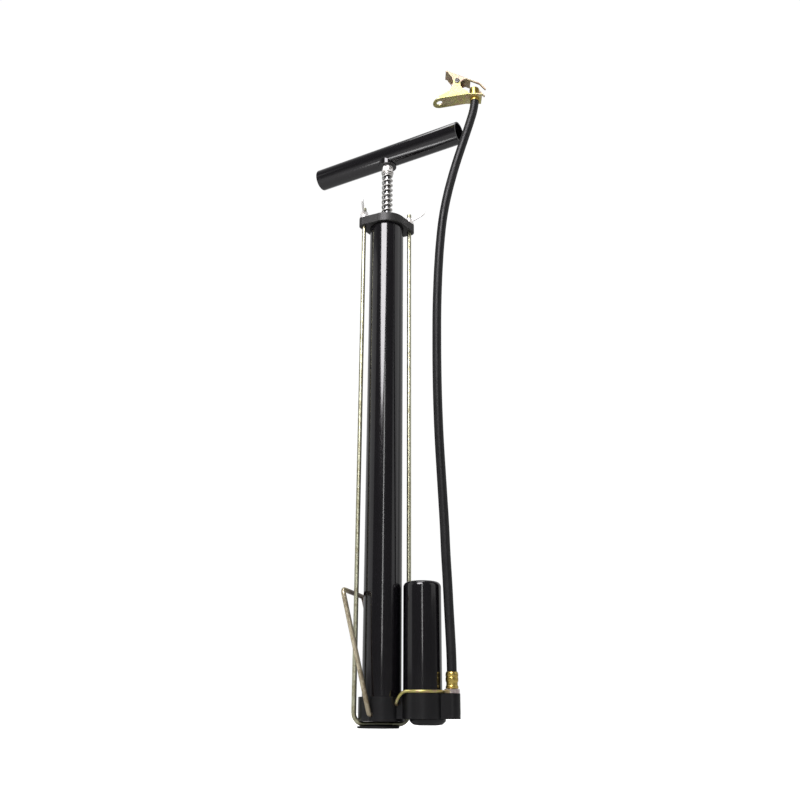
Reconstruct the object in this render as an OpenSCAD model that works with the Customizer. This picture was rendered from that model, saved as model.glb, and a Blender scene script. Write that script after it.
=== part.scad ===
// Foot air pump: a tall hand-driven barrel pump with an air tank, a foot stirrup,
// a short hose and a sprung clip-on valve connector.
// Origin on the floor under the barrel's axis, +Z up, +X from the barrel to the tank.

/* [Barrel] */
// Outer diameter of the barrel tube
barrel_d = 38; // [36:0.5:38]
// Wall of the barrel tube
barrel_wall = 1.5; // [1:0.1:2]
// Height of the barrel tube's lower end
barrel_z0 = 20; // [20:0.5:21]
// Height of the barrel tube's upper end
barrel_z1 = 539.8; // [539.6:0.1:539.8]

/* [Base] */
// Radius of the casting around the barrel
base_barrel_r = 22.2; // [22:0.1:22.4]
// Radius of the casting around the tank
base_tank_r = 20.6; // [20:0.1:21]
// Height of the casting's top face at the barrel
base_z1 = 28; // [27:0.5:29]
// Height of the casting's top face at the tank and the hose lug
base_tank_z1 = 31; // [30.8:0.1:31]
// Height of the underside below the barrel
base_barrel_z0 = 6.4; // [6.4:0.1:7]
// Height of the underside below the tank and the hose lug
base_tank_z0 = 8.6; // [8:0.1:9]
// Half width of the waist between barrel and tank
waist_half = 12.5; // [11:0.5:13]
// Diameter of the rubber pad that the pump stands on
pad_d = 40; // [34:1:40]
// Thickness of the rubber pad
pad_h = 3.4; // [3:0.1:3.6]

/* [Tank] */
// Distance from the barrel's axis to the tank's axis
tank_x = 40.2; // [40.2:0.1:41]
// Outer diameter of the tank
tank_d = 37; // [34:0.5:37]
// Height of the tank's closed top
tank_z1 = 134.5; // [120:0.5:150]
// Radius of the tank's rounded top edge
tank_round = 5; // [3:0.5:6]
// Wall of the tank
tank_wall = 1.2; // [1:0.1:1.6]

/* [Tie rod] */
// Diameter of the U-shaped tie rod
rod_d = 4.6; // [4:0.1:4.6]
// Distance of each leg from the barrel's axis
rod_reach = 26.7; // [26.5:0.1:27]
// Direction of the rod's plane, turned from +X
rod_turn = 30; // [30:1:40]
// Radius of the two bottom bends, at the wire's centre
rod_bend = 10; // [8:0.5:12]

/* [Cap] */
// Height of the cap's underside
cap_z0 = 537; // [537:0.1:537.5]
// Height of the cap's top face
cap_z1 = 547; // [546.5:0.1:548]
// Radius of the cap's round middle
cap_r = 22.5; // [22.5:0.5:24]
// Radius of the cap's two lugs
cap_lug_r = 5.6; // [5:0.1:7]

/* [Plunger] */
// Diameter of the piston rod
piston_rod_d = 8; // [8:0.1:8.1]
// Height of the piston rod's lower end
piston_z0 = 32; // [31:1:40]
// Outer diameter of the buffer spring
spring_d = 13; // [12.6:0.2:13.4]
// Thickness of the buffer spring's wire
spring_wire = 2; // [1.6:0.1:2.2]
// Number of open turns in the buffer spring
spring_turns = 9; // [6:1:10]
// Height of the washer on top of the buffer spring
washer_z0 = 613.3; // [612:0.1:613.5]

/* [Handle] */
// Outer diameter of the handle tube
handle_d = 25; // [22:0.5:26]
// Length of the handle tube
handle_len = 190; // [160:5:190]
// Height of the handle tube's axis
handle_z = 636; // [636:0.5:638]
// Direction of the handle, turned from +X
handle_turn = -14.5; // [-20:0.5:-10]

/* [Foot stirrup] */
// Diameter of the stirrup wire
stirrup_d = 4.6; // [4:0.1:5]
// Place of the stirrup's pivot along X
stirrup_x = -4.3; // [-5:0.1:-4]
// Height of the stirrup's pivot
stirrup_z = 12.4; // [12:0.1:12.6]
// Length of the stirrup's legs, seen from the side
stirrup_len = 116.5; // [100:0.5:125]
// Half width of the stirrup at its crossbar
stirrup_half = 33; // [30:0.5:36]
// Lean of the stirrup away from the barrel
stirrup_lean = 13; // [12.8:0.1:15]

/* [Hose] */
// Place of the hose fitting along X
hose_x = 68.5; // [68.5:0.1:70]
// Outer diameter of the hose
hose_d = 9.4; // [8:0.1:9.4]
// Number of flat sides of the hose's tube
hose_sides = 12; // [8:1:12]

/* [Valve connector] */
// Direction from the connector's nozzle to its handles
chuck_turn = 195.5; // [190:0.5:200]
// Width of the connector's lower lever
chuck_w = 17; // [16.5:0.1:18]
// Sheet thickness of the levers
chuck_sheet = 1.2; // [1:0.1:1.2]
// Radius of the bore that takes the tyre valve
valve_bore_r = 4.1; // [4:0.05:4.2]

/* [Hidden] */
$fn = 64;

zinc = [0.80, 0.77, 0.66];
black = [0.07, 0.07, 0.08];
rubber = [0.16, 0.16, 0.17];
steel = [0.75, 0.76, 0.78];
brass = [0.80, 0.62, 0.25];
gold_zinc = [0.82, 0.74, 0.42];

barrel_r = barrel_d / 2;
barrel_bore_r = barrel_r - barrel_wall;
tank_r = tank_d / 2;
rod_r = rod_d / 2;
pad_x = -3;                       // the pad sits a little towards the stirrup
pad_rim_h = 2;                    // the pad's rim is thinner than its middle
rod_run_z = 3.9;                  // the rod's run is half sunk in the pad
rod_top_z = 561;
piston_rod_r = piston_rod_d / 2;
piston_rod_z1 = handle_z - 3;
handle_r = handle_d / 2;
handle_wall = 1.5;
handle_bottom_z = handle_z - handle_r;
boss_z0 = handle_bottom_z - 1.2;   // underside of the handle's boss
slip = 0.2;                       // gap round a part that is pushed into a recess
barrel_floor_z = 18;              // floor of the casting's recess for the barrel
tank_floor_z = 21;                // floor of its recess for the tank
passage_z = 14.5;                 // height of the air passages in the casting
passage_r = 2.5;
inlet_x = 12;
valve_x = 33;
outlet_x = 51;
plug_x = 45;
lug_r = 7.6;                      // round end of the casting, under the hose fitting
fitting_z1 = base_tank_z1 + 4;    // top of the hexagon fitting
wing_z = cap_z1 + 0.3;            // underside of the wing nuts
clip_wire_r = 1.5;
clip_z = base_tank_z1 + clip_wire_r + 0.2;
cup_z = piston_z0 + 9;            // height of the piston cup's open rim

foot_bend = 3;                    // radius of the stirrup wire's bends at its pivot
stirrup_bend = 5;                 // and at its crossbar
pin_end = 14.5;                   // how near its two pivot pins come to the middle
foot_half = base_barrel_r + 3.1;  // half width of the stirrup at its pivot
splay = atan2(stirrup_half - foot_half, stirrup_len);
foot_cut = foot_bend * tan((90 - splay) / 2);
top_cut = stirrup_bend * tan((90 + splay) / 2);

// Route of the hose, from the fitting's face to the connector, in round numbers
HOSE_ROUTE = [
    [68.5, 0, 35.2], [68.5, 0, 50], [68.3, -0.2, 66], [67.8, -1, 84],
    [67, -2, 108], [66.3, -3.5, 134], [65.5, -5.5, 160], [65, -7.5, 188],
    [64.2, -10, 216], [63.3, -12.3, 244], [62.5, -14.8, 272], [62.1, -17.2, 300],
    [62.1, -19.6, 328], [62.5, -22, 356], [63.2, -24.3, 384], [64.2, -26.8, 412],
    [65.7, -29, 440], [67.8, -31.2, 468], [70.6, -33.2, 496], [74.2, -34.8, 522],
    [79.2, -36, 546], [85, -36.8, 568], [91, -37.3, 588], [97, -37.8, 606],
    [102.5, -38.3, 622], [107.8, -38.8, 638], [111.6, -39.2, 651], [113.5, -39.5, 662]
];
hose_top = HOSE_ROUTE[len(HOSE_ROUTE) - 1];

pad_z = 5.2;                      // top of the lower lever's flat pad
cup_top = 17;
pivot_at = [20, 22];              // pivot, as x and z
pin_r = 2;
lower_end = [48, -2.5];           // end of the lower handle
jaw_corner = [-6, 20.5];          // where the upper lever bends down into the jaw
jaw_tip = [-12.5, 12.5];
upper_end = [32, 37.5];           // end of the upper handle

// ---------- shapes that several parts use ----------

// A plain tube standing on z0
module ring(outer_r, inner_r, z0, z1) {
    translate([0, 0, z0])
        rotate_extrude()
            translate([inner_r, 0]) square([outer_r - inner_r, z1 - z0]);
}

// A bend of round wire about the Z axis from +X. It runs a little way into the straight
// pieces at both ends and is a hair thinner than them.
module wire_bend(bend_r, wire_r, sweep) {
    overrun = 2;
    rotate([0, 0, -overrun])
        rotate_extrude(angle = sweep + 2 * overrun)
            translate([bend_r, 0]) circle(r = wire_r - 0.04);
}

function unit(v) = v / norm(v);

// The direction of a route at its point i
function heading(route, i) =
    unit(route[min(i + 1, len(route) - 1)] - route[max(i - 1, 0)]);

// One ring of points round a route's point, across its heading
function ring_points(centre, along, side, r, n) =
    let (across = unit(cross(along, side)), up = cross(across, along))
    [for (k = [0:n - 1]) centre + r * (cos(360 * k / n) * across + sin(360 * k / n) * up)];

// A tube of n sides along a route; side is any direction that the route never takes
module swept(route, side, r, n) {
    last = len(route) - 1;
    points = [for (i = [0:last]) each ring_points(route[i], heading(route, i), side, r, n)];
    walls = [for (i = [0:last - 1], k = [0:n - 1])
        let (a = i * n + k, b = i * n + (k + 1) % n) [a, b, b + n, a + n]];
    first_end = [for (k = [0:n - 1]) n - 1 - k];
    last_end = [for (k = [0:n - 1]) last * n + k];
    polyhedron(points, concat([first_end], walls, [last_end]), convexity = 6);
}

// A helix of wire about the Z axis, with one closed turn at each end
module coil(mean_r, wire_r, z0, z1, open_turns, steps, n) {
    closed = 2.1 * wire_r;
    pitch = (z1 - z0 - 2 * wire_r - 2 * closed) / open_turns;
    turns = open_turns + 2;
    route = [for (i = [0:turns * steps])
        let (t = i / steps)
        [
            mean_r * cos(360 * t),
            mean_r * sin(360 * t),
            z0 + wire_r + closed * min(t, 1) + pitch * min(max(t - 1, 0), open_turns)
                + closed * max(t - 1 - open_turns, 0)
        ]];
    swept(route, [0, 0, 1], wire_r, n);
}

// ---------- base ----------

module base_outline() {
    circle(r = base_tank_r);
    translate([0, -lug_r]) square([hose_x - tank_x, 2 * lug_r]);
    translate([hose_x - tank_x, 0]) circle(r = lug_r);
}

module air_passages() {
    translate([inlet_x, 0, passage_z]) cylinder(r = passage_r, h = 10);
    translate([inlet_x, 0, passage_z]) rotate([0, 90, 0]) cylinder(r = passage_r, h = valve_x - inlet_x);
    translate([valve_x, 0, passage_z]) cylinder(r = passage_r, h = 10);
    translate([outlet_x, 0, passage_z]) cylinder(r = passage_r, h = 10);
    translate([outlet_x, 0, passage_z]) rotate([0, 90, 0]) cylinder(r = passage_r, h = hose_x - outlet_x);
    translate([hose_x, 0, passage_z]) cylinder(r = passage_r, h = 20);
}

module base_casting() {
    color(black)
    difference() {
        union() {
            translate([0, 0, base_barrel_z0])
                cylinder(r = base_barrel_r, h = base_z1 - base_barrel_z0);
            translate([0, -waist_half, base_tank_z0])
                cube([tank_x, 2 * waist_half, base_z1 - base_tank_z0]);
            translate([tank_x, 0, base_tank_z0])
                linear_extrude(base_tank_z1 - base_tank_z0) base_outline();
        }
        translate([0, 0, barrel_floor_z]) cylinder(r = barrel_r + slip, h = 20);
        translate([tank_x, 0, tank_floor_z]) cylinder(r = tank_r + slip, h = 20);
        air_passages();
        translate([hose_x, 0, base_tank_z1 - 9]) cylinder(r = 4.5, h = 20);
        translate([plug_x, 0, base_tank_z0 - 1]) cylinder(r = 10.2, h = 3);
        rod_path(slip);
        for (side = [-1, 1]) {
            // pivot holes of the stirrup
            translate([stirrup_x, side * 18, stirrup_z]) rotate([90, 0, 0])
                cylinder(r = stirrup_d / 2 + 0.1, h = 12, center = true);
            // holes for the ends of the tank clip
            translate([18.5, side * 11, 21.5]) rotate([90, 0, 0])
                cylinder(r = clip_wire_r + 0.4, h = 5, center = true);
        }
    }
}

module base_pad() {
    color(rubber)
    difference() {
        translate([pad_x, 0, 0])
            rotate_extrude()
                polygon([
                    [0, 0], [pad_d / 2 - 0.6, 0], [pad_d / 2, 0.6], [pad_d / 2, pad_rim_h],
                    [pad_d / 2 - 7, pad_rim_h], [pad_d / 2 - 7, pad_h], [0, pad_h]
                ]);
        rotate([0, 0, rod_turn]) translate([0, 0, rod_run_z]) rotate([0, 90, 0])
            cylinder(r = rod_r + 0.1, h = 3 * rod_reach, center = true);
    }
}

module core_plug() {
    spigot_r = 10;
    head_r = 17;
    color(black)
    translate([plug_x, 0, 0])
        rotate_extrude()
            polygon([
                [0, 3], [9, 3], [13.5, 3.7], [head_r - 1.5, 5.2], [head_r - 0.2, 6.6], [head_r, 7.4],
                [head_r, base_tank_z0], [spigot_r, base_tank_z0],
                [spigot_r, base_tank_z0 + 1.8], [0, base_tank_z0 + 1.8]
            ]);
}

// ---------- barrel and tank ----------

module barrel_gasket() {
    color(rubber) ring(barrel_r, barrel_r - 3.5, barrel_floor_z, barrel_z0);
}

module barrel_tube() {
    color(black) ring(barrel_r, barrel_bore_r, barrel_z0, barrel_z1);
}

module tank_gasket() {
    color(rubber)
    translate([tank_x, 0, 0]) ring(tank_r, tank_r - 3, tank_floor_z, tank_floor_z + 1.8);
}

module tank_profile(r, round_r, z0, z1) {
    translate([0, z0]) square([r, z1 - z0 - round_r]);
    translate([0, z1 - round_r - 0.01]) square([r - round_r, round_r + 0.01]);
    intersection() {
        translate([r - round_r, z1 - round_r]) circle(r = round_r);
        translate([0, z1 - round_r - 0.01]) square([r, round_r + 0.01]);
    }
}

module tank_shell() {
    z0 = tank_floor_z + 1.8;
    color(black)
    translate([tank_x, 0, 0])
        rotate_extrude()
            difference() {
                tank_profile(tank_r, tank_round, z0, tank_z1);
                tank_profile(tank_r - tank_wall, tank_round - tank_wall, z0 - 1, tank_z1 - tank_wall);
            }
}

module tank_clip() {
    loop_r = tank_r + clip_wire_r + 0.15;
    start_turn = 118;
    // one end: out of the waist's hole, up, and onto the loop round the tank
    near_end = [
        [18.5, -9.2, 21.5], [18.5, -12.5, 21.5], [18.7, -15, 21.9],
        [19.4, -16.6, 23.4], [20.8, -17.6, 26], [22.8, -18.2, 28.8],
        [25.3, -18.6, 31.2], [27.6, -18.8, 32.4]
    ];
    loop = [for (turn = [-start_turn + 8:14:start_turn - 8])
        [tank_x + loop_r * cos(turn), loop_r * sin(turn), clip_z]];
    far_end = [for (i = [len(near_end) - 1:-1:0])
        [near_end[i][0], -near_end[i][1], near_end[i][2]]];
    color(gold_zinc) swept(concat(near_end, loop, far_end), [0.05, 0, 1], clip_wire_r, 10);
}

// ---------- check valve in the tank's floor ----------

module valve_disc() {
    color(rubber)
    translate([valve_x, 0, tank_floor_z + 0.3]) cylinder(r = 5, h = 2);
}

module valve_spring() {
    color(steel)
    translate([valve_x, 0, 0])
        coil(3.2, 0.4, tank_floor_z + 2.5, tank_floor_z + 9.2, 3, 12, 6);
}

module valve_cage() {
    z0 = tank_floor_z;
    color(steel)
    translate([valve_x, 0, 0])
    difference() {
        translate([0, 0, z0]) cylinder(r = 7, h = 10.5);
        translate([0, 0, z0 - 1]) cylinder(r = 5.6, h = 10.3);
        for (turn = [0, 90])
            rotate([0, 0, turn]) translate([-10, -2.5, z0 + 2]) cube([20, 5, 5]);
    }
}

// ---------- tie rod, cap and wing nuts ----------

// The U-shaped rod's own body, or with a gap the space that it needs
module rod_path(gap) {
    bend_z = rod_run_z + rod_bend;
    rotate([0, 0, rod_turn]) {
        for (side = [-1, 1]) {
            translate([side * rod_reach, 0, bend_z])
                cylinder(r = rod_r + gap, h = rod_top_z - bend_z);
            translate([side * (rod_reach - rod_bend), 0, bend_z])
                rotate([90, side < 0 ? 180 : 90, side < 0 ? 0 : 0])
                    wire_bend(rod_bend, rod_r + gap, 90);
        }
        translate([0, 0, rod_run_z]) rotate([0, 90, 0])
            cylinder(r = rod_r + gap, h = 2 * (rod_reach - rod_bend), center = true);
    }
}

module tie_rod() {
    color(zinc) rod_path(0);
}

// The cap's solid body: a round middle and two lugs, joined by sides that nearly touch both
module cap_body() {
    cap_h = cap_z1 - cap_z0;
    lean = asin((cap_r - cap_lug_r) / rod_reach);
    mid = (cap_r - 0.1) * [sin(lean), cos(lean)];
    lug = [rod_reach, 0] + (cap_lug_r - 0.1) * [sin(lean), cos(lean)];
    cylinder(r = cap_r, h = cap_h);
    for (end = [-1, 1]) translate([end * rod_reach, 0, 0]) cylinder(r = cap_lug_r, h = cap_h);
    linear_extrude(cap_h)
        polygon([
            mid, lug, [lug[0], -lug[1]], [mid[0], -mid[1]],
            [-mid[0], -mid[1]], [-lug[0], -lug[1]], [-lug[0], lug[1]], [-mid[0], mid[1]]
        ]);
}

module top_cap() {
    color(black)
    difference() {
        translate([0, 0, cap_z0]) rotate([0, 0, rod_turn]) cap_body();
        translate([0, 0, cap_z0 - 1]) cylinder(r = barrel_r + slip, h = 5);
        translate([0, 0, cap_z0 - 1]) cylinder(r = 7, h = 20);
        rotate([0, 0, rod_turn])
            for (side = [-1, 1])
                translate([side * rod_reach, 0, cap_z0 - 1]) cylinder(r = rod_r + slip, h = 20);
    }
}

module cap_gasket() {
    color(rubber) ring(barrel_r, barrel_r - 3.5, barrel_z1, cap_z0 + 4);
}

module rod_bush() {
    z0 = cap_z0 + 1;
    color(steel)
    difference() {
        union() {
            translate([0, 0, z0]) cylinder(r = 11, h = cap_z0 + 4 - z0);
            translate([0, 0, z0]) cylinder(r = 7, h = cap_z1 - z0);
        }
        translate([0, 0, z0 - 1]) cylinder(r = piston_rod_r + 0.06, h = 20);
    }
}

// A wing nut about the Z axis, with its underside at z = 0
module wing_nut() {
    color(zinc)
    difference() {
        union() {
            rotate_extrude()
                polygon([[0, 0], [5.4, 0], [5.4, 1.2], [4, 8], [0, 8]]);
            for (side = [0, 180])
                rotate([90, 0, side]) translate([0, 0, -0.9]) linear_extrude(1.8)
                    polygon([
                        [3, 4], [8, 6], [16, 9.5], [18.6, 11.6], [19.4, 14.2],
                        [18.9, 16.4], [17, 17.6], [14, 17], [8, 12], [3, 7.8]
                    ]);
        }
        translate([0, 0, -1]) cylinder(r = rod_r + 0.1, h = 20);
    }
}

module wing_nut_left() {
    rotate([0, 0, rod_turn]) translate([-rod_reach, 0, wing_z]) rotate([0, 0, 68]) wing_nut();
}

module wing_nut_right() {
    rotate([0, 0, rod_turn]) translate([rod_reach, 0, wing_z]) rotate([0, 0, -35]) wing_nut();
}

// ---------- plunger ----------

module buffer_spring() {
    color(steel)
    coil(spring_d / 2 - spring_wire / 2, spring_wire / 2, cap_z1 + 0.1, washer_z0 - 0.1,
        spring_turns, 16, 8);
}

module buffer_washer() {
    color(steel) ring(7.2, piston_rod_r + 0.3, washer_z0, washer_z0 + 2);
}

module piston_rod() {
    color(steel)
    translate([0, 0, piston_z0]) cylinder(r = piston_rod_r, h = piston_rod_z1 - piston_z0);
}

module lock_nut() {
    color(steel)
    difference() {
        translate([0, 0, washer_z0 + 2.3])
            cylinder(r = 7, h = boss_z0 - washer_z0 - 2.4, $fn = 6);
        cylinder(r = piston_rod_r + 0.02, h = 700);
    }
}

module handle_boss() {
    color(black)
    difference() {
        translate([0, 0, boss_z0]) cylinder(r = 10.5, h = 9);
        cylinder(r = piston_rod_r + 0.02, h = 700);
        handle_bar(handle_r + 0.03);
    }
}

// The handle's outer cylinder, at any radius
module handle_bar(r) {
    translate([0, 0, handle_z]) rotate([0, 90, handle_turn])
        cylinder(r = r, h = handle_len, center = true);
}

module handle_tube() {
    color(black)
    difference() {
        handle_bar(handle_r);
        translate([0, 0, handle_z]) rotate([0, 90, handle_turn])
            cylinder(r = handle_r - handle_wall, h = handle_len + 2, center = true);
        translate([0, 0, handle_z - handle_r - 1])
            cylinder(r = piston_rod_r + 0.02, h = handle_r);
    }
}

module piston_cup() {
    wall = 1.8;
    color([0.35, 0.22, 0.13])
    rotate_extrude()
        polygon([
            [piston_rod_r + 0.02, cup_z + 8 - wall], [barrel_bore_r - 0.1 - wall, cup_z + 8 - wall],
            [barrel_bore_r - 0.1 - wall, cup_z], [barrel_bore_r - 0.1, cup_z],
            [barrel_bore_r - 0.1, cup_z + 6.5], [barrel_bore_r - 1.6, cup_z + 8],
            [piston_rod_r + 0.02, cup_z + 8]
        ]);
}

module piston_backing() {
    color(steel) ring(14.5, piston_rod_r + 0.02, cup_z + 8, cup_z + 11);
}

module piston_washer() {
    color(steel) ring(12, piston_rod_r + 0.02, cup_z + 4.2, cup_z + 6.2);
}

module piston_nut() {
    color(steel)
    difference() {
        translate([0, 0, cup_z - 2.3]) cylinder(r = 7.5, h = 6.5, $fn = 6);
        cylinder(r = piston_rod_r + 0.02, h = 100);
    }
}

// ---------- foot stirrup ----------
// The whole wire lies in one leaning plane, drawn flat here: x across the stirrup, y up its legs.

module stirrup_side() {
    r = stirrup_d / 2;
    leg_len = norm([stirrup_half - foot_half, stirrup_len]) - foot_cut - top_cut;
    translate([pin_end, 0, 0]) rotate([0, 90, 0])
        cylinder(r = r, h = foot_half - foot_cut - pin_end);
    translate([foot_half - foot_cut, foot_bend, 0]) rotate([0, 0, -90])
        wire_bend(foot_bend, r, 90 - splay);
    translate([foot_half + foot_cut * sin(splay), foot_cut * cos(splay), 0])
        rotate([0, 0, -splay]) rotate([-90, 0, 0]) cylinder(r = r, h = leg_len);
    translate([stirrup_half - top_cut, stirrup_len - stirrup_bend, 0]) rotate([0, 0, -splay])
        wire_bend(stirrup_bend, r, 90 + splay);
}

module foot_stirrup() {
    color(zinc)
    translate([stirrup_x, 0, stirrup_z]) rotate([0, -stirrup_lean, 0]) rotate([90, 0, 90])
        union() {
            stirrup_side();
            mirror([1, 0, 0]) stirrup_side();
            translate([0, stirrup_len, 0]) rotate([0, 90, 0])
                cylinder(r = stirrup_d / 2, h = 2 * (stirrup_half - top_cut), center = true);
        }
}

// ---------- hose and its fittings ----------

module hose_nipple() {
    color([0.82, 0.76, 0.72])
    translate([hose_x, 0, 0])
    difference() {
        union() {
            translate([0, 0, base_tank_z1 - 9]) cylinder(r = 4.4, h = 10);
            translate([0, 0, base_tank_z1]) rotate([0, 0, 30])
                cylinder(r = 7.6, h = fitting_z1 - base_tank_z1, $fn = 6);
        }
        translate([0, 0, base_tank_z1 - 10]) cylinder(r = 2, h = 20);
    }
}

module hose_ferrule() {
    color(brass)
    translate([hose_x, 0, 0])
        rotate_extrude()
            polygon([
                [hose_d / 2 + 0.1, fitting_z1 + 0.2], [6, fitting_z1 + 0.2], [6, 37.5], [5.4, 38.5],
                [5.4, 41], [6, 42], [6, 48.5], [5.4, 50.5], [hose_d / 2 + 0.1, 50.5]
            ]);
}

module hose() {
    color(rubber) swept(HOSE_ROUTE, [0, 1, 0], hose_d / 2, hose_sides);
}

// ---------- clip-on valve connector ----------
// Its own frame: x from the nozzle towards the levers' handles, z up the nozzle, 0 at the hose's end

module chuck_frame() {
    translate(hose_top) rotate([0, 0, chuck_turn]) children();
}

// A strip of sheet in the XZ plane between two points, with its thickness below the line
module strip(from, to, half_w) {
    span = to - from;
    translate([from[0], 0, from[1]])
        rotate([0, -atan2(span[1], span[0]), 0])
            translate([0, -half_w, -chuck_sheet]) cube([norm(span), 2 * half_w, chuck_sheet]);
}

// An upright plate across Y from y0 with a polygon outline in x and z
module cheek(y0, outline) {
    translate([0, y0 + chuck_sheet, 0]) rotate([90, 0, 0])
        linear_extrude(chuck_sheet) polygon(outline);
}

module across(r, half_w) {
    rotate([90, 0, 0]) cylinder(r = r, h = 2 * half_w, center = true);
}

module chuck_nozzle() {
    color(brass)
    chuck_frame()
        rotate_extrude()
            polygon([
                [1.5, 0], [5.2, 0], [5.2, pad_z - chuck_sheet - 0.05], [4.2, pad_z - chuck_sheet - 0.05],
                [4.2, pad_z + 0.05], [5.6, pad_z + 0.05], [5.6, cup_top - 1], [5.1, cup_top],
                [valve_bore_r, cup_top], [valve_bore_r, cup_top - 4.5],
                [4.6, cup_top - 4.5], [4.6, cup_top - 7], [1.5, cup_top - 7]
            ]);
}

module chuck_seal() {
    color(rubber)
    chuck_frame() ring(4.5, 1.6, cup_top - 6.9, cup_top - 4.6);
}

module chuck_lower_lever() {
    half = chuck_w / 2;
    bend_x = 9;
    handle_mid = (lower_end + [bend_x, pad_z]) / 2;
    tilt = -atan2(lower_end[1] - pad_z, lower_end[0] - bend_x);
    color(gold_zinc)
    chuck_frame()
    difference() {
        union() {
            strip([-8, pad_z], [bend_x + 0.2, pad_z], half);
            intersection() {
                strip([bend_x, pad_z], lower_end, half);
                // the handle's round end
                translate([bend_x - 1, 0, -30])
                    union() {
                        translate([0, -half, 0]) cube([lower_end[0] - bend_x - half, chuck_w, 60]);
                        translate([lower_end[0] - bend_x - half, 0, 0]) cylinder(r = half, h = 60);
                    }
            }
            for (y0 = [-half, half - chuck_sheet])
                cheek(y0, [
                    [8, pad_z - chuck_sheet], [bend_x, pad_z - chuck_sheet], [39.5, -2.2],
                    [40.5, 0.8], [37, 3.2], [28.5, 8.5], [25.5, 15], [24.3, 22], [23, 24.6],
                    [20.5, 25.8], [18, 24.8], [16.6, 22], [16.2, 15], [13.5, 10.5], [8, 8]
                ]);
        }
        translate([0, 0, -1]) cylinder(r = 4.3, h = 20);
        translate([pivot_at[0], 0, pivot_at[1]]) across(pin_r + 0.02, chuck_w);
        // finger hole near the round end
        translate([39.5, 0, handle_mid[1] - 4]) rotate([0, tilt, 0])
            cylinder(r = 3.4, h = 12, center = true);
    }
}

module chuck_upper_lever() {
    half = chuck_w / 2 - chuck_sheet - 0.3;
    slot_half = valve_bore_r + 0.4;
    ear_y = half - chuck_sheet;
    color(gold_zinc)
    chuck_frame()
    difference() {
        union() {
            // top sheet and jaw, one bent strip seen from the side
            translate([0, half, 0]) rotate([90, 0, 0])
                linear_extrude(2 * half)
                    polygon([jaw_tip, jaw_corner, upper_end, upper_end + [0.5, -1.1],
                             jaw_corner + [0.75, -1], jaw_tip + [0.95, -0.75]]);
            for (y0 = [-half, ear_y])
                cheek(y0, [
                    [8.5, 26.4], [27.5, 34.9], [29.8, 35.7], [29.2, 33.2], [25.6, 28.5], [23.6, 20.5],
                    [22.2, 18.9], [20, 18.3], [17.8, 18.9], [16.4, 20.5], [13.5, 24.4]
                ]);
        }
        // fork that passes each side of the tyre valve
        translate([-20, -slot_half, 0]) cube([20 + slot_half, 2 * slot_half, 60]);
        translate([pivot_at[0], 0, pivot_at[1]]) across(pin_r + 0.08, chuck_w);
    }
}

module chuck_pin() {
    color(steel)
    chuck_frame()
        translate([pivot_at[0], 0, pivot_at[1]]) {
            across(pin_r, chuck_w / 2 + 0.05);
            for (side = [-1, 1])
                translate([0, side * (chuck_w / 2 + 0.55), 0]) across(3, 0.5);
        }
}

// A torsion spring about the levers' pin: a long leg down to the lower handle, six turns, a short leg
module chuck_spring() {
    coil_r = 3.4;
    foot = [11, -20.6];
    start = atan2(foot[1], foot[0]) + acos(coil_r / norm(foot));
    turns = 6;
    finish = 360 * turns - 17;
    tip = coil_r * [cos(finish), sin(finish)] + 6 * [-sin(finish), cos(finish)];
    coil_points = [for (i = [0:12 * turns])
        let (turn = start + (finish - start) * i / (12 * turns))
        [coil_r * cos(turn), 3.9 - 7.8 * i / (12 * turns), coil_r * sin(turn)]];
    color(steel)
    chuck_frame()
        translate([pivot_at[0], 0, pivot_at[1]])
            swept(
                concat([[foot[0], 3.9, foot[1]]], coil_points, [[tip[0], -3.9, tip[1]]]),
                [0, 1, 0], 0.6, 8
            );
}

base_casting();
base_pad();
core_plug();
barrel_gasket();
barrel_tube();
tank_gasket();
tank_shell();
tank_clip();
valve_disc();
valve_spring();
valve_cage();
tie_rod();
top_cap();
cap_gasket();
rod_bush();
wing_nut_left();
wing_nut_right();
buffer_spring();
buffer_washer();
piston_rod();
lock_nut();
handle_boss();
handle_tube();
piston_cup();
piston_backing();
piston_washer();
piston_nut();
foot_stirrup();
hose_nipple();
hose_ferrule();
hose();
chuck_nozzle();
chuck_seal();
chuck_lower_lever();
chuck_upper_lever();
chuck_pin();
chuck_spring();
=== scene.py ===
import math

import bmesh
import bpy
from mathutils import Matrix, Vector


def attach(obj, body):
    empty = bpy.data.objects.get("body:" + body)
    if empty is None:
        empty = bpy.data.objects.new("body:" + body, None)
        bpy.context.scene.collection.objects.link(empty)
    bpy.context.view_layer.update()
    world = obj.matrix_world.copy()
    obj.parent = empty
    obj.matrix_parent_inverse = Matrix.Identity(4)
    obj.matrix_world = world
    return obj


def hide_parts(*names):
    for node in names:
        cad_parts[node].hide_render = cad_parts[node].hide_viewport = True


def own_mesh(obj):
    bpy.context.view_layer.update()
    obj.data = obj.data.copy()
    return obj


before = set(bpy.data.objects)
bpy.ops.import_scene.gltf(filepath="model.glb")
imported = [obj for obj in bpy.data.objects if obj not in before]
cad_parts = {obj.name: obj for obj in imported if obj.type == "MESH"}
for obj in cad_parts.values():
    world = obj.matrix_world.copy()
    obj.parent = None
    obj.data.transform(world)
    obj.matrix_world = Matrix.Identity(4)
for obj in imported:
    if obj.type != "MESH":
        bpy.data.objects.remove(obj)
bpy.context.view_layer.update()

# ---------------------------------------------------------------- camera and studio light
# A lens close to the floor, tilted up so that the whole pump stands in the frame. The room is
# white behind the pump and dark in front of it. A wide lamp stands high behind the lens, with
# a thin strip below it, fainter lamps at both sides and above, and a low tube on the floor.
camera_spot = Vector((0.2459, -0.8263, 0.0147))
view_turn = math.radians(15.5)
view_pitch = math.radians(20)
view_roll = math.radians(0.27)
ahead = Vector((-math.sin(view_turn), math.cos(view_turn), 0))
rightward = Vector((math.cos(view_turn), math.sin(view_turn), 0))
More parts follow.
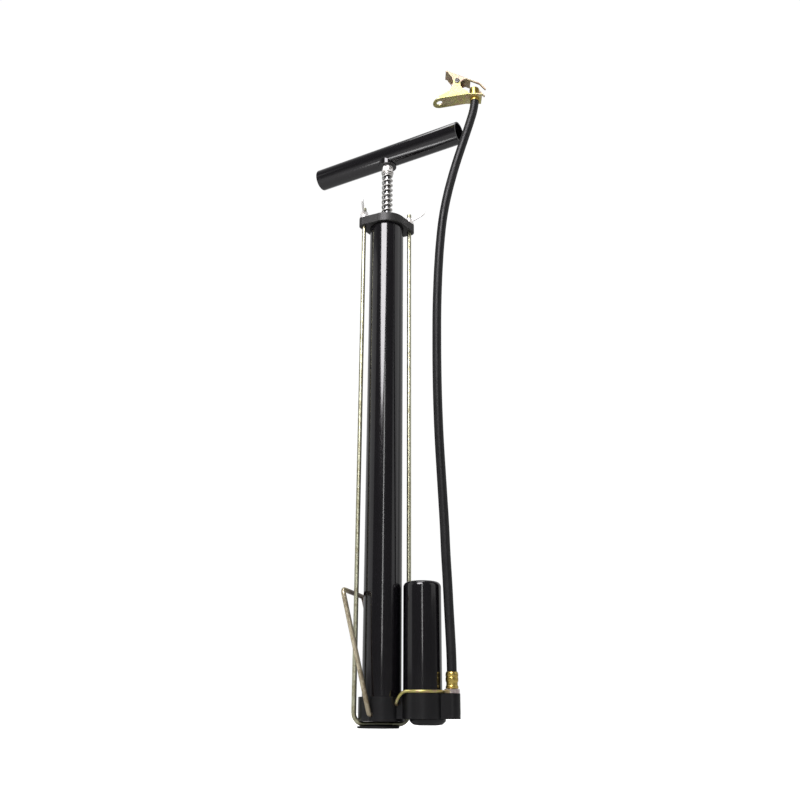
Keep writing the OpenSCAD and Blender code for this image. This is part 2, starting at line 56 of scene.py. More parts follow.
looking = ahead * math.cos(view_pitch) + Vector((0, 0, math.sin(view_pitch)))
upward = rightward.cross(looking)
lens_x = rightward * math.cos(view_roll) + upward * math.sin(view_roll)
lens_y = upward * math.cos(view_roll) - rightward * math.sin(view_roll)


def placed(name, data):
    """A new object with this data, put in the scene."""
    thing = bpy.data.objects.new(name, data)
    bpy.context.scene.collection.objects.link(thing)
    return thing


def standing(place, x_axis, y_axis, z_axis):
    """The matrix that puts a thing at a place, with its own axes along the given ones."""
    return Matrix.Translation(place) @ Matrix((x_axis, y_axis, z_axis)).transposed().to_4x4()


camera = placed("camera", bpy.data.cameras.new("camera"))
camera.data.lens = 38.57
camera.data.sensor_width = 36
camera.data.clip_start = 0.01
camera.matrix_world = standing(camera_spot, lens_x, lens_y, -looking)
bpy.context.scene.camera = camera
bpy.context.scene.view_settings.view_transform = "Standard"


def soft_lamp(name, side, front, height, wide, tall, watts, aim_z):
    """An area lamp placed sideways of, in front of and above the pump, and turned to it."""
    lamp = placed(name, bpy.data.lights.new(name, "AREA"))
    lamp.data.shape = "RECTANGLE"
    lamp.data.size = wide
    lamp.data.size_y = tall
    lamp.data.energy = watts
    place = rightward * side - ahead * front + Vector((0, 0, height))
    aim = Vector((0, 0, aim_z)) - place
    facing = aim.to_track_quat("-Z", "Y").to_matrix().to_4x4()
    lamp.matrix_world = Matrix.Translation(place) @ facing
    return lamp


wide_lamp = soft_lamp(
    "wide_lamp", side=-0.46, front=1.44, height=1.47, wide=0.98, tall=1.2, watts=42, aim_z=0.5
)
wide_lamp.data.shape = "ELLIPSE"
wide_lamp.data.color = (1, 0.97, 1)
soft_lamp(
    "strip_lamp", side=-0.02, front=1.5, height=0.55, wide=0.1, tall=0.8, watts=1.9, aim_z=0.2
)
soft_lamp("left_lamp", side=-1.5, front=0.2, height=0.7, wide=1.0, tall=1.2, watts=2, aim_z=0.3)
soft_lamp("right_lamp", side=1.5, front=0.35, height=0.9, wide=1.4, tall=1.2, watts=3.4, aim_z=0.4)
soft_lamp("top_lamp", side=-0.1, front=0.1, height=1.9, wide=0.8, tall=0.8, watts=8, aim_z=0.3)
# A low light tube in line with the handle, which shines up and draws a line along its underside
low_tube = soft_lamp(
    "low_tube", side=-0.45, front=0.2, height=0.002, wide=0.5, tall=0.05, watts=0.7, aim_z=1
)
low_tube.visible_camera = False
tube_line = rightward * 0.88 + ahead * 0.47
tube_down = Vector((0, 0, -1))
low_tube.matrix_world = standing(
    low_tube.matrix_world.translation, tube_line, tube_down.cross(tube_line), tube_down
)


def add(tree, kind, **values):
    """A shader node; a value goes to the setting of that name, or to the input with that name."""
    node = tree.nodes.new("ShaderNode" + kind)
    for key, value in values.items():
        if hasattr(node, key):
            setattr(node, key, value)
        else:
            node.inputs[key.replace("_", " ")].default_value = value
    return node


def join(tree, *pairs):
    """Links each output to the input beside it."""
    for out, into in pairs:
        tree.links.new(out, into)


world = bpy.data.worlds.new("studio")
bpy.context.scene.world = world
world.use_nodes = True
room = world.node_tree
room.nodes.clear()
direction = add(room, "TexCoord")
depth = add(room, "VectorMath", operation="DOT_PRODUCT")
depth.inputs[1].default_value = ahead
fade = add(
    room, "MapRange", interpolation_type="SMOOTHSTEP",
    From_Min=-0.35, From_Max=0.75, To_Min=0.17, To_Max=0.7,
)
room_light = add(room, "Background")
white_wall = add(room, "Background", Color=(1, 1, 1, 1), Strength=1.02)
ray = add(room, "LightPath")
room_mix = add(room, "MixShader")
room_out = add(room, "OutputWorld")
join(
    room,
    (direction.outputs["Generated"], depth.inputs[0]),
    (depth.outputs["Value"], fade.inputs["Value"]),
    (fade.outputs["Result"], room_light.inputs["Strength"]),
    (ray.outputs["Is Camera Ray"], room_mix.inputs[0]),
    (room_light.outputs[0], room_mix.inputs[1]),
    (white_wall.outputs[0], room_mix.inputs[2]),
    (room_mix.outputs[0], room_out.inputs["Surface"]),
)

# ---------------------------------------------------------------- hose
# Extruded black rubber hose over a woven core, stiff enough to stand in its own bow.
# It is pushed on a barb in the base's fitting and on another under the connector.
hose_d = 0.0094
hose_route = [
    (0.0685, 0, 0.0352), (0.0685, 0, 0.05), (0.0683, -0.0002, 0.066),
    (0.0678, -0.001, 0.084), (0.067, -0.002, 0.108), (0.0663, -0.0035, 0.134),
    (0.0655, -0.0055, 0.16), (0.065, -0.0075, 0.188), (0.0642, -0.01, 0.216),
    (0.0633, -0.0123, 0.244), (0.0625, -0.0148, 0.272), (0.0621, -0.0172, 0.3),
    (0.0621, -0.0196, 0.328), (0.0625, -0.022, 0.356), (0.0632, -0.0243, 0.384),
    (0.0642, -0.0268, 0.412), (0.0657, -0.029, 0.44), (0.0678, -0.0312, 0.468),
    (0.0706, -0.0332, 0.496), (0.0742, -0.0348, 0.522), (0.0792, -0.036, 0.546),
    (0.085, -0.0368, 0.568), (0.091, -0.0373, 0.588), (0.097, -0.0378, 0.606),
    (0.1025, -0.0383, 0.622), (0.1078, -0.0388, 0.638), (0.1116, -0.0392, 0.651),
    (0.1135, -0.0395, 0.662),
]


def node_group(name, inputs, outputs):
    """A shader node group with named sockets; each socket is (name, kind, default)."""
    group = bpy.data.node_groups.new(name, "ShaderNodeTree")
    for direction, sockets in (("INPUT", inputs), ("OUTPUT", outputs)):
        for label, kind, default in sockets:
            socket = group.interface.new_socket(
                name=label, in_out=direction, socket_type="NodeSocket" + kind
            )
            if default is not None:
                socket.default_value = default
    entry = group.nodes.new("NodeGroupInput")
    result = group.nodes.new("NodeGroupOutput")
    return group, entry, result


def blend_numbers(tree, factor, low, high):
    """A number that runs from low to high as factor runs from 0 to 1."""
    ramp = add(tree, "MapRange", To_Min=low, To_Max=high)
    join(tree, (factor, ramp.inputs["Value"]))
    return ramp.outputs["Result"]


def blend_colours(tree, factor, first, second):
    """A colour between two others; each may be a colour or the output of a node."""
    mix = add(tree, "Mix", data_type="RGBA")
    join(tree, (factor, mix.inputs["Factor"]))
    for socket, colour in ((mix.inputs[6], first), (mix.inputs[7], second)):
        if isinstance(colour, (tuple, list)):
            socket.default_value = (*colour, 1)
        else:
            join(tree, (colour, socket))
    return mix.outputs[2]


def scale_for(tree, size, share=1):
    """The noise scale for features of a size in metres; a share below 1 makes them coarser."""
    scale = add(tree, "Math", operation="DIVIDE")
    scale.inputs[0].default_value = share
    join(tree, (size, scale.inputs[1]))
    return scale.outputs[0]


def noise(tree, place, scale, **values):
    """Noise over the piece; place and scale come from other nodes."""
    texture = add(tree, "TexNoise", **values)
    join(tree, (place, texture.inputs["Vector"]), (scale, texture.inputs["Scale"]))
    return texture.outputs["Fac"]


def mask(tree, value, low, high):
    """A mask that goes from 0 to 1 while value goes from low to high."""
    edge = add(tree, "MapRange", From_Min=low, From_Max=high)
    join(tree, (value, edge.inputs["Value"]))
    return edge.outputs["Result"]


def combine(tree, operation, first, second):
    """The sum or the product of two values."""
    sum_or_product = add(tree, "Math", operation=operation)
    join(tree, (first, sum_or_product.inputs[0]), (second, sum_or_product.inputs[1]))
    return sum_or_product.outputs[0]


# Dust and finger marks: soft patches that dull a surface, and the specks that lie on it
dust_group, entry, result = node_group(
    "dust_and_marks",
    [("Patch Size", "Float", 0.02), ("Speck Size", "Float", 0.0012), ("Amount", "Float", 0.5)],
    [("Patches", "Float", None), ("Specks", "Float", None), ("Height", "Float", None)],
)
t = dust_group
place = add(t, "TexCoord").outputs["Object"]
amount = entry.outputs["Amount"]
patch = noise(t, place, scale_for(t, entry.outputs["Patch Size"]), Detail=5.0, Roughness=0.62)
speck = noise(t, place, scale_for(t, entry.outputs["Speck Size"]), Detail=2.0, Roughness=0.5)
join(
    t,
    (combine(t, "MULTIPLY", mask(t, patch, low=0.35, high=0.7), amount), result.inputs["Patches"]),
    (combine(t, "MULTIPLY", mask(t, speck, low=0.63, high=0.74), amount), result.inputs["Specks"]),
    (speck, result.inputs["Height"]),
)


def new_material(name):
    """An empty material with its shader and its output; returns it, its tree and the shader."""
    material = bpy.data.materials.new(name)
    material.use_nodes = True
    tree = material.node_tree
    return material, tree, tree.nodes["Principled BSDF"]


def use_group(tree, group, **values):
    """Places a node group in a material and sets its named inputs."""
    return add(tree, "Group", node_tree=group, **values)


def bump(tree, shader, height, strength, distance):
    """Feeds a height into the shader's normal; distance is the depth in metres."""
    relief = add(tree, "Bump", Strength=strength, Distance=distance)
    join(
        tree,
        (height, relief.inputs["Height"]),
        (relief.outputs["Normal"], shader.inputs["Normal"]),
    )


def rubber(name, dark, pale, roughness, grain_size):
    """Moulded rubber: fine grain, a grey bloom in patches, and dust in the grain."""
    material, tree, shader = new_material(name)
    shader.inputs["Specular IOR Level"].default_value = 0.3
    dust = use_group(tree, dust_group, Patch_Size=0.03, Speck_Size=grain_size, Amount=0.8)
    colour = blend_colours(tree, dust.outputs["Patches"], dark, pale)
    colour = blend_colours(tree, dust.outputs["Specks"], colour, tuple(c * 1.5 for c in pale))
    bloom = blend_numbers(tree, dust.outputs["Patches"], roughness, roughness + 0.2)
    join(tree, (colour, shader.inputs["Base Color"]), (bloom, shader.inputs["Roughness"]))
    bump(tree, shader, dust.outputs["Height"], strength=0.35, distance=0.00015)
    return material


hose_rubber = rubber(
    "hose_rubber",
    dark=(0.005, 0.005, 0.0055), pale=(0.009, 0.009, 0.0095), roughness=0.36, grain_size=0.0009,
)


def smooth_curve(name, points, radius, material, sides=10, steps=6):
    """A round wire or hose along points, as one open spline with soft bends."""
    curve = bpy.data.curves.new(name, "CURVE")
    curve.dimensions = "3D"
    curve.bevel_depth = radius
    curve.bevel_resolution = sides
    curve.resolution_u = steps
    curve.use_fill_caps = True
    spline = curve.splines.new("BEZIER")
    spline.bezier_points.add(len(points) - 1)
    for knot, point in zip(spline.bezier_points, points):
        knot.co = point
        knot.handle_left_type = knot.handle_right_type = "AUTO"
    curve.materials.append(material)
    return placed(name, curve)


hose = smooth_curve("rubber_hose", hose_route, hose_d / 2, hose_rubber)
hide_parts("hose")
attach(hose, "base")

# ---------------------------------------------------------------- base casting
# One aluminium casting holds the barrel, the tank and the hose fitting. It is painted
# black over its cast skin, and only its edges have been broken by tumbling.


def paint(name, colour, roughness, peel_size, peel_depth, cast_depth, coat, shine=0.5):
    """Baked black paint: orange peel in the gloss, the metal's own skin below, dust on top."""
    material, tree, shader = new_material(name)
    shader.inputs["Coat Weight"].default_value = coat
    shader.inputs["Coat Roughness"].default_value = 0.06
    shader.inputs["Specular IOR Level"].default_value = shine
    dust = use_group(tree, dust_group, Patch_Size=0.025, Speck_Size=0.0016, Amount=0.2)
    peel = use_group(
        tree, peel_group, Peel_Size=peel_size, Peel_Depth=peel_depth, Skin_Depth=cast_depth
    )
    handled = tuple(c * 1.5 + 0.001 for c in colour)
    dusty = tuple(c * 2 + 0.002 for c in colour)
    tint = blend_colours(tree, dust.outputs["Patches"], colour, handled)
    tint = blend_colours(tree, dust.outputs["Specks"], tint, dusty)
    dulled = blend_numbers(tree, dust.outputs["Patches"], roughness, roughness + 0.16)
    join(tree, (tint, shader.inputs["Base Color"]), (dulled, shader.inputs["Roughness"]))
    bump(tree, shader, peel.outputs["Height"], strength=1.0, distance=0.001)
    return material


# Orange peel of sprayed paint over the lumps of the cast or drawn metal, in millimetres
peel_group, entry, result = node_group(
    "orange_peel",
    [("Peel Size", "Float", 0.0015), ("Peel Depth", "Float", 0.01), ("Skin Depth", "Float", 0.05)],
    [("Height", "Float", None)],
)
t = peel_group
place = add(t, "TexCoord").outputs["Object"]
peel_size = entry.outputs["Peel Size"]
peel = noise(t, place, scale_for(t, peel_size), Detail=1.0, Roughness=0.4)
skin = noise(t, place, scale_for(t, peel_size, share=0.25), Detail=3.0, Roughness=0.55)
peel_height = combine(t, "MULTIPLY", peel, entry.outputs["Peel Depth"])
skin_height = combine(t, "MULTIPLY", skin, entry.outputs["Skin Depth"])
join(t, (combine(t, "ADD", peel_height, skin_height), result.inputs["Height"]))

casting_paint = paint(
    "casting_paint", (0.003, 0.003, 0.0035), roughness=0.34,
    peel_size=0.0016, peel_depth=0.012, cast_depth=0.06, coat=0.1, shine=0.3,
)


def with_broken_edges(node, body, material, edge, smooth_angle=32):
    """The CAD piece again with its edges broken as the real one's are, standing for the node."""
    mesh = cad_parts[node].data.copy()
    shape = bmesh.new()
    shape.from_mesh(mesh)
    bmesh.ops.remove_doubles(shape, verts=shape.verts, dist=2e-6)
    bmesh.ops.dissolve_limit(
        shape, angle_limit=math.radians(0.6), verts=shape.verts, edges=shape.edges
    )
    shape.to_mesh(mesh)
    shape.free()
    if "custom_normal" in mesh.attributes:
        mesh.attributes.remove(mesh.attributes["custom_normal"])
    mesh.shade_smooth()
    mesh.materials.clear()
    mesh.materials.append(material)
    piece = placed(node + "_finished", mesh)
    broken = piece.modifiers.new("broken_edge", "BEVEL")
    broken.width = edge
    broken.segments = 3
    broken.limit_method = "ANGLE"
    broken.angle_limit = math.radians(smooth_angle)
    broken.use_clamp_overlap = True
    flats = piece.modifiers.new("flat_faces", "WEIGHTED_NORMAL")
    flats.keep_sharp = False
    flats.weight = 60
    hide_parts(node)
    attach(piece, body)
    return piece


with_broken_edges("base_casting", "base", casting_paint, edge=0.0008)

# ---------------------------------------------------------------- rubber pad and core plug
# The pump stands on a moulded rubber disc under the barrel. The dished plug beside it
# closes the hole that the casting's core left under the tank.
pad_rubber = rubber(
    "pad_rubber",
    dark=(0.006, 0.006, 0.006), pale=(0.012, 0.0115, 0.011), roughness=0.6, grain_size=0.0007,
)
with_broken_edges("base_pad", "base", pad_rubber, edge=0.0003)
with_broken_edges("core_plug", "base", casting_paint, edge=0.0004)

# ---------------------------------------------------------------- barrel, tank and their gaskets
# Drawn steel tubes under the same baked paint. The tank's closed end is spun round, and
# rubber rings seal both tubes in the casting.
tube_paint = paint(
    "tube_paint", (0.0035, 0.003, 0.004), roughness=0.12,
    peel_size=0.004, peel_depth=0.001, cast_depth=0.003, coat=0.3,
)


def finish_node(node, material):
    """Gives a CAD piece that stays as it is its material."""
    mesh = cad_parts[node].data
    mesh.materials.clear()
    mesh.materials.append(material)


for node in ("barrel_tube", "tank_shell"):
    finish_node(node, tube_paint)
for node in ("barrel_gasket", "tank_gasket", "cap_gasket"):
    finish_node(node, pad_rubber)

# ---------------------------------------------------------------- tank clip
# A loop of yellow plated wire round the tank. Its two ends are bent down and sprung into
# holes in the casting's waist.


def plated(name, colours, roughness, cloud_size, grain, grain_depth, metallic=1.0):
    """Plated metal: its film runs through three tints in clouds, over the metal's own grain."""
    material, tree, shader = new_material(name)
    shader.inputs["Metallic"].default_value = metallic
    film = use_group(tree, plating_group, Cloud_Size=cloud_size, Grain=grain)
    dust = use_group(tree, dust_group, Patch_Size=0.012, Speck_Size=0.0011, Amount=0.25)
    tint = blend_colours(tree, film.outputs["Clouds"], colours[0], colours[1])
    tint = blend_colours(tree, film.outputs["Edges"], tint, colours[2])
    tint = blend_colours(tree, dust.outputs["Specks"], tint, tuple(c * 0.45 for c in colours[0]))
    worn = blend_numbers(tree, film.outputs["Grain"], roughness - 0.08, roughness + 0.12)
    join(tree, (tint, shader.inputs["Base Color"]), (worn, shader.inputs["Roughness"]))
    bump(tree, shader, film.outputs["Grain"], strength=0.5, distance=grain_depth)
    return material


# Clouds of a passivated zinc film, the bands at their edges, and a grain drawn along one axis
plating_group, entry, result = node_group(
    "zinc_film",
    [("Cloud Size", "Float", 0.01), ("Grain", "Vector", (4000, 4000, 120))],
    [("Clouds", "Float", None), ("Edges", "Float", None), ("Grain", "Float", None)],
)
t = plating_group
place = add(t, "TexCoord").outputs["Object"]
cloud_scale = scale_for(t, entry.outputs["Cloud Size"])
cloud = noise(t, place, cloud_scale, Detail=4.0, Roughness=0.6, Distortion=0.4)
band = add(t, "Math", operation="PINGPONG")
band.inputs[1].default_value = 0.12
stretch = add(t, "VectorMath", operation="MULTIPLY")
lines = add(t, "TexNoise", Scale=1, Detail=2.0, Roughness=0.6)
join(
    t,
    (cloud, band.inputs[0]),
    (place, stretch.inputs[0]),
    (entry.outputs["Grain"], stretch.inputs[1]),
    (stretch.outputs[0], lines.inputs["Vector"]),
    (mask(t, cloud, low=0.38, high=0.66), result.inputs["Clouds"]),
    (mask(t, band.outputs[0], low=0.05, high=0.12), result.inputs["Edges"]),
    (lines.outputs["Fac"], result.inputs["Grain"]),
)

yellow_zinc = plated(
    "yellow_zinc", ((0.46, 0.41, 0.12), (0.50, 0.48, 0.22), (0.46, 0.30, 0.20)),
    roughness=0.44, cloud_size=0.011, grain=(600, 600, 600), grain_depth=0.000006,
)

tank_axis = 0.0402
clip_loop_r = 0.02015
clip_wire_r = 0.0015
clip_level = 0.0327
clip_half = [
    (0.0185, -0.0092, 0.0215), (0.0185, -0.0125, 0.0215), (0.0187, -0.015, 0.0219),
    (0.0194, -0.0166, 0.0234), (0.0208, -0.0176, 0.026), (0.0228, -0.0182, 0.0288),
    (0.0253, -0.0186, 0.0312), (0.0276, -0.0188, 0.0324),
]
clip_points = list(clip_half)
for turn in range(-108, 109, 12):
    angle = math.radians(turn)
    clip_points.append((
        tank_axis + clip_loop_r * math.cos(angle), clip_loop_r * math.sin(angle), clip_level
    ))
clip_points += [(x, -y, z) for x, y, z in reversed(clip_half)]
clip = smooth_curve("wire_clip", clip_points, clip_wire_r, yellow_zinc, sides=6, steps=4)
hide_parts("tank_clip")
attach(clip, "base")

# ---------------------------------------------------------------- check valve in the tank
# A rubber disc is held on its seat by a light spring inside a small turned cage, so that
# air goes into the tank and the hose and does not come back.
spring_wire = plated(
    "spring_wire", ((0.72, 0.71, 0.68), (0.80, 0.79, 0.77), (0.62, 0.60, 0.56)),
    roughness=0.34, cloud_size=0.006, grain=(900, 900, 5000), grain_depth=0.00001,
)
turned_brass = plated(
    "turned_brass", ((0.50, 0.37, 0.09), (0.58, 0.45, 0.15), (0.42, 0.28, 0.07)),
    roughness=0.3, cloud_size=0.01, grain=(100, 100, 2500), grain_depth=0.000004,
)


def mesh_piece(name, shape, material):
    """A smooth piece of one material from a closed bmesh."""
    bmesh.ops.recalc_face_normals(shape, faces=shape.faces)
    mesh = bpy.data.meshes.new(name)
    shape.to_mesh(mesh)
    shape.free()
    mesh.shade_smooth()
    mesh.materials.append(material)
    return placed(name, mesh)


def helix_tube(name, centre, mean_r, wire_r, heights, material, steps, sides):
    """A coil of round wire about a vertical axis; heights holds the height at each full turn."""
    rings = []
    count = (len(heights) - 1) * steps
    for i in range(count + 1):
        turn = i / steps
        low = min(int(turn), len(heights) - 2)
        part = turn - low
        before = heights[max(low - 1, 0)]
        after = heights[min(low + 2, len(heights) - 1)]
        here, there = heights[low], heights[low + 1]
        slope_in = (there - before) / 2 if low > 0 else there - here
        slope_out = (after - here) / 2 if low + 2 < len(heights) else there - here
        z = (
            (2 * part**3 - 3 * part**2 + 1) * here
            + (part**3 - 2 * part**2 + part) * slope_in
            + (3 * part**2 - 2 * part**3) * there
            + (part**3 - part**2) * slope_out
        )
        angle = 2 * math.pi * turn
        outward = Vector((math.cos(angle), math.sin(angle), 0))
        hub = Vector(centre) + outward * mean_r + Vector((0, 0, z))
        ring = []
        for k in range(sides):
            around = 2 * math.pi * k / sides
            upward_part = math.sin(around) * Vector((0, 0, 1))
            ring.append(hub + wire_r * (math.cos(around) * outward + upward_part))
        rings.append(ring)
    shape = bmesh.new()
    verts = [[shape.verts.new(p) for p in ring] for ring in rings]
    for low, high in zip(verts, verts[1:]):
        for k in range(sides):
            nxt = (k + 1) % sides
            shape.faces.new((low[k], low[nxt], high[nxt], high[k]))
    shape.faces.new(list(reversed(verts[0])))
    shape.faces.new(verts[-1])
    return mesh_piece(name, shape, material)


finish_node("valve_disc", pad_rubber)
finish_node("valve_cage", turned_brass)
valve_axis = (0.033, 0, 0)
valve_coil_r = 0.0032
valve_wire_r = 0.0004
valve_heights = [0.0239, 0.02474, 0.02615, 0.02755, 0.02896, 0.0298]
valve_coil = helix_tube(
    "valve_coil", valve_axis, valve_coil_r, valve_wire_r, valve_heights, spring_wire,
    steps=24, sides=8,
)
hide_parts("valve_spring")
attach(valve_coil, "base")
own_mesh(valve_coil)

# ---------------------------------------------------------------- tie rod
# One length of plated wire is bent into a U. It passes under the base, and both ends are
# threaded and come up through the cap's lugs, so that it clamps the whole pump together.
drawn_zinc = plated(
    "drawn_zinc", ((0.46, 0.46, 0.32), (0.54, 0.54, 0.41), (0.35, 0.33, 0.21)),
    roughness=0.36, cloud_size=0.014, grain=(2600, 2600, 60), grain_depth=0.00002,
)
with_broken_edges("tie_rod", "base", drawn_zinc, edge=0.0004, smooth_angle=50)

# The ridges of the thread that shows above each wing nut
rod_reach = 0.0267
rod_turn = math.radians(30)
rod_r = 0.0023
thread_foot = 0.5548
thread_pitch = 0.0008
thread_ridge_r = 0.00028
thread_sunk = 0.00012
thread_heights = [thread_foot + thread_pitch * i for i in range(8)]
for side, name in ((-1, "rod_thread_left"), (1, "rod_thread_right")):
    foot = (side * rod_reach * math.cos(rod_turn), side * rod_reach * math.sin(rod_turn), 0)
    thread = helix_tube(
        name, foot, rod_r - thread_sunk, thread_ridge_r, thread_heights, drawn_zinc,
        steps=24, sides=6,
    )
    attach(thread, "base")

# ---------------------------------------------------------------- cap with its gasket and bush
# A cast plate that closes the barrel. Two lugs take the tie rod, and a brass bush in the
# middle guides the piston rod.
cap_paint = paint(
    "cap_paint", (0.011, 0.011, 0.0105), roughness=0.5,
    peel_size=0.0012, peel_depth=0.012, cast_depth=0.07, coat=0.05,
)
with_broken_edges("top_cap", "base", cap_paint, edge=0.0007)
with_broken_edges("rod_bush", "base", turned_brass, edge=0.0003)

# ---------------------------------------------------------------- wing nuts
# Cast and plated wing nuts, each with two thumb wings. They tumble in a drum before the
# zinc goes on, which rounds every edge.
bright_zinc = plated(
    "bright_zinc", ((0.80, 0.79, 0.77), (0.88, 0.87, 0.86), (0.70, 0.67, 0.62)),
    roughness=0.34, cloud_size=0.01, grain=(1200, 1200, 1200), grain_depth=0.00002, metallic=0.45,
)
with_broken_edges("wing_nut_left", "nut_left", bright_zinc, edge=0.0006)
with_broken_edges("wing_nut_right", "nut_right", bright_zinc, edge=0.0006)

# ---------------------------------------------------------------- buffer spring and washer
# A coil of plated wire with a closed turn at each end softens the handle's blow at the
# bottom of the stroke.
coil_low = 0.5482
coil_high = 0.6121
coil_mean_r = 0.0055
coil_wire_r = 0.001
closed_turn = 0.0021
open_turns = 9
open_pitch = (coil_high - coil_low - 2 * closed_turn) / open_turns
coil_heights = [coil_low]
coil_heights += [coil_low + closed_turn + open_pitch * i for i in range(open_turns + 1)]
coil_heights += [coil_high]
buffer_spring = helix_tube(
    "handle_spring", (0, 0, 0), coil_mean_r, coil_wire_r, coil_heights, spring_wire,
    steps=40, sides=14,
)
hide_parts("buffer_spring")
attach(buffer_spring, "base")
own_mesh(buffer_spring)
with_broken_edges("buffer_washer", "buffer", bright_zinc, edge=0.0003)

# ---------------------------------------------------------------- piston rod and piston
# A ground rod carries an oiled leather cup between a backing plate and a washer, held by
# a nut. The cup seals on the way down and lets air past on the way up.
# Painted shade: this steel's colour is kept far darker than ground steel, so that the rod shows
# black in the shaded gaps between the buffer spring's coils; the piston parts and the connector's
# pin share it
shade_darkened_steel = plated(
    "shade_darkened_steel", ((0.22, 0.22, 0.23), (0.28, 0.28, 0.28), (0.18, 0.17, 0.16)),
    roughness=0.24, cloud_size=0.02, grain=(200, 200, 1600), grain_depth=0.000003,
)
for node in ("piston_rod", "piston_backing", "piston_washer"):
    finish_node(node, shade_darkened_steel)
finish_node("piston_nut", bright_zinc)
cup_leather, tree, shader = new_material("cup_leather")
dust = use_group(tree, dust_group, Patch_Size=0.006, Speck_Size=0.0008, Amount=1.0)
tint = blend_colours(tree, dust.outputs["Patches"], (0.16, 0.08, 0.035), (0.26, 0.15, 0.07))
oiled = blend_numbers(tree, dust.outputs["Patches"], low=0.35, high=0.6)
join(tree, (tint, shader.inputs["Base Color"]), (oiled, shader.inputs["Roughness"]))
bump(tree, shader, dust.outputs["Height"], strength=0.6, distance=0.0003)
finish_node("piston_cup", cup_leather)

# ---------------------------------------------------------------- lock nut, boss and handle
# The handle is a painted tube, cut square and open at both ends. It sits across a turned
# boss on top of the rod, and a plated nut locks the boss.
with_broken_edges("lock_nut", "plunger", bright_zinc, edge=0.0005)
with_broken_edges("handle_boss", "plunger", tube_paint, edge=0.0004)
with_broken_edges("handle_tube", "plunger", tube_paint, edge=0.0003, smooth_angle=45)

# ---------------------------------------------------------------- foot stirrup
# The same plated wire, bent into a loop that hinges on the base. Folded down, it takes
# the foot that holds the pump to the floor.
shaded_stirrup_zinc = plated(
    "shaded_stirrup_zinc", ((0.46, 0.40, 0.28), (0.54, 0.49, 0.36), (0.32, 0.26, 0.17)),
    roughness=0.36, cloud_size=0.012, grain=(2600, 2600, 60), grain_depth=0.00002,
)
# Painted shade: the plating's colour is darkened to a deep brown over the crossbar, standing in
# for the shade and dark reflection that fall there
tree = shaded_stirrup_zinc.node_tree
shader = tree.nodes["Principled BSDF"]
film_colour = shader.inputs["Base Color"].links[0].from_socket
axes = add(tree, "SeparateXYZ")
join(tree, (add(tree, "TexCoord").outputs["Object"], axes.inputs["Vector"]))
crossbar_shade_mask = mask(tree, axes.outputs["Y"], low=-0.03, high=-0.014)
crossbar_shaded_colour = blend_colours(tree, crossbar_shade_mask, film_colour, (0.09, 0.06, 0.04))
join(tree, (crossbar_shaded_colour, shader.inputs["Base Color"]))
with_broken_edges(
    "foot_stirrup", "stirrup", shaded_stirrup_zinc, edge=0.0003, smooth_angle=50
)

# ---------------------------------------------------------------- hose fitting and sleeve
# A hexagon fitting is screwed in the casting's lug. The hose is pushed on its barb and
# held by a brass sleeve that is rolled at its mouth and crimped twice.
fitting_zinc = plated(
    "fitting_zinc", ((0.66, 0.56, 0.52), (0.70, 0.64, 0.58), (0.58, 0.44, 0.46)),
    roughness=0.32, cloud_size=0.005, grain=(1500, 1500, 1500), grain_depth=0.00002,
)
with_broken_edges("hose_nipple", "base", fitting_zinc, edge=0.0005)


def turned(name, centre, profile, material, steps=64):
    """A turned piece about a vertical axis; profile is a closed loop of (radius, height)."""
    shape = bmesh.new()
    rings = []
    for i in range(steps):
        angle = 2 * math.pi * i / steps
        across, along = math.cos(angle), math.sin(angle)
        rings.append([
            shape.verts.new((centre[0] + r * across, centre[1] + r * along, z)) for r, z in profile
        ])
    for a, b in zip(rings, rings[1:] + rings[:1]):
        for k in range(len(profile)):
            nxt = (k + 1) % len(profile)
            shape.faces.new((a[k], b[k], b[nxt], a[nxt]))
    return mesh_piece(name, shape, material)


sleeve_profile = [
    (0.00478, 0.0353), (0.0058, 0.0353), (0.006, 0.0355), (0.006, 0.0372),
    (0.00585, 0.0376), (0.00545, 0.0381), (0.0054, 0.0386), (0.0054, 0.0408),
    (0.0055, 0.0412), (0.0059, 0.0418), (0.006, 0.0424), (0.006, 0.0448),
    (0.0059, 0.0452), (0.0057, 0.0455), (0.0057, 0.0459), (0.0059, 0.0462),
    (0.006, 0.0466), (0.006, 0.0482), (0.0059, 0.0488), (0.0057, 0.0496),
    (0.0054, 0.0502), (0.0051, 0.0505), (0.00478, 0.0504),
]
sleeve = turned("crimped_sleeve", (0.0685, 0), sleeve_profile, turned_brass)
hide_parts("hose_ferrule")
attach(sleeve, "base")

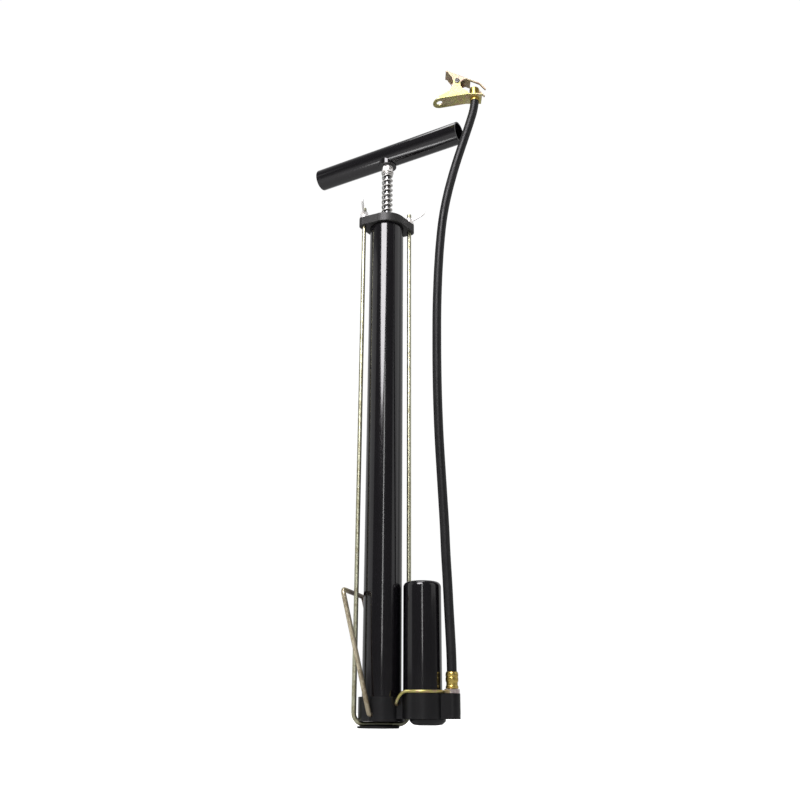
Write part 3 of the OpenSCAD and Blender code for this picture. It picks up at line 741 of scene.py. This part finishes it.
# ---------------------------------------------------------------- clip-on valve connector
# Two pressed levers work on one pin like tongs. The lower one carries the brass nozzle on
# the hose, and the upper one's forked jaw bites behind the tyre valve's thread.
nozzle = with_broken_edges("chuck_nozzle", "base", turned_brass, edge=0.0003)
finish_node("chuck_seal", pad_rubber)
pressed_zinc = plated(
    "pressed_zinc", ((0.58, 0.53, 0.20), (0.62, 0.61, 0.33), (0.60, 0.44, 0.31)),
    roughness=0.52, cloud_size=0.014, grain=(600, 600, 600), grain_depth=0.000006,
)
lower_lever = with_broken_edges(
    "chuck_lower_lever", "base", pressed_zinc, edge=0.0003
)
lever_zinc = plated(
    "lever_zinc", ((0.46, 0.38, 0.25), (0.52, 0.46, 0.34), (0.46, 0.32, 0.26)),
    roughness=0.46, cloud_size=0.014, grain=(600, 600, 600), grain_depth=0.000006,
)
upper_lever = with_broken_edges(
    "chuck_upper_lever", "jaw_lever", lever_zinc, edge=0.0003
)
pin = with_broken_edges("chuck_pin", "base", shade_darkened_steel, edge=0.0003)
finish_node("chuck_spring", spring_wire)

# ---------------------------------------------------------------- floor
# A plain pale sheet that runs back without an end. It is lit as brightly as the room behind
# the pump, so no line shows where they meet.
floor_reach = 9
floor_corners = [
    (-floor_reach, -floor_reach, 0), (floor_reach, -floor_reach, 0),
    (floor_reach, floor_reach, 0), (-floor_reach, floor_reach, 0),
]
floor_mesh = bpy.data.meshes.new("floor")
floor_mesh.from_pydata(floor_corners, [], [(0, 1, 2, 3)])
floor_paint, tree, shader = new_material("floor_paint")
shader.inputs["Emission Color"].default_value = (1, 1, 1, 1)
shader.inputs["Roughness"].default_value = 0.9
floor_grain = use_group(tree, dust_group, Patch_Size=0.4, Speck_Size=0.002, Amount=0.3)
seen = add(tree, "LightPath").outputs["Is Camera Ray"]
card = blend_colours(tree, floor_grain.outputs["Patches"], (0.5, 0.5, 0.5), (0.46, 0.46, 0.46))
join(
    tree,
    (blend_colours(tree, seen, card, (0.9, 0.9, 0.9)), shader.inputs["Base Color"]),
    (blend_numbers(tree, seen, low=0.1, high=0.96), shader.inputs["Emission Strength"]),
)
floor_mesh.materials.append(floor_paint)
floor = placed("floor", floor_mesh)
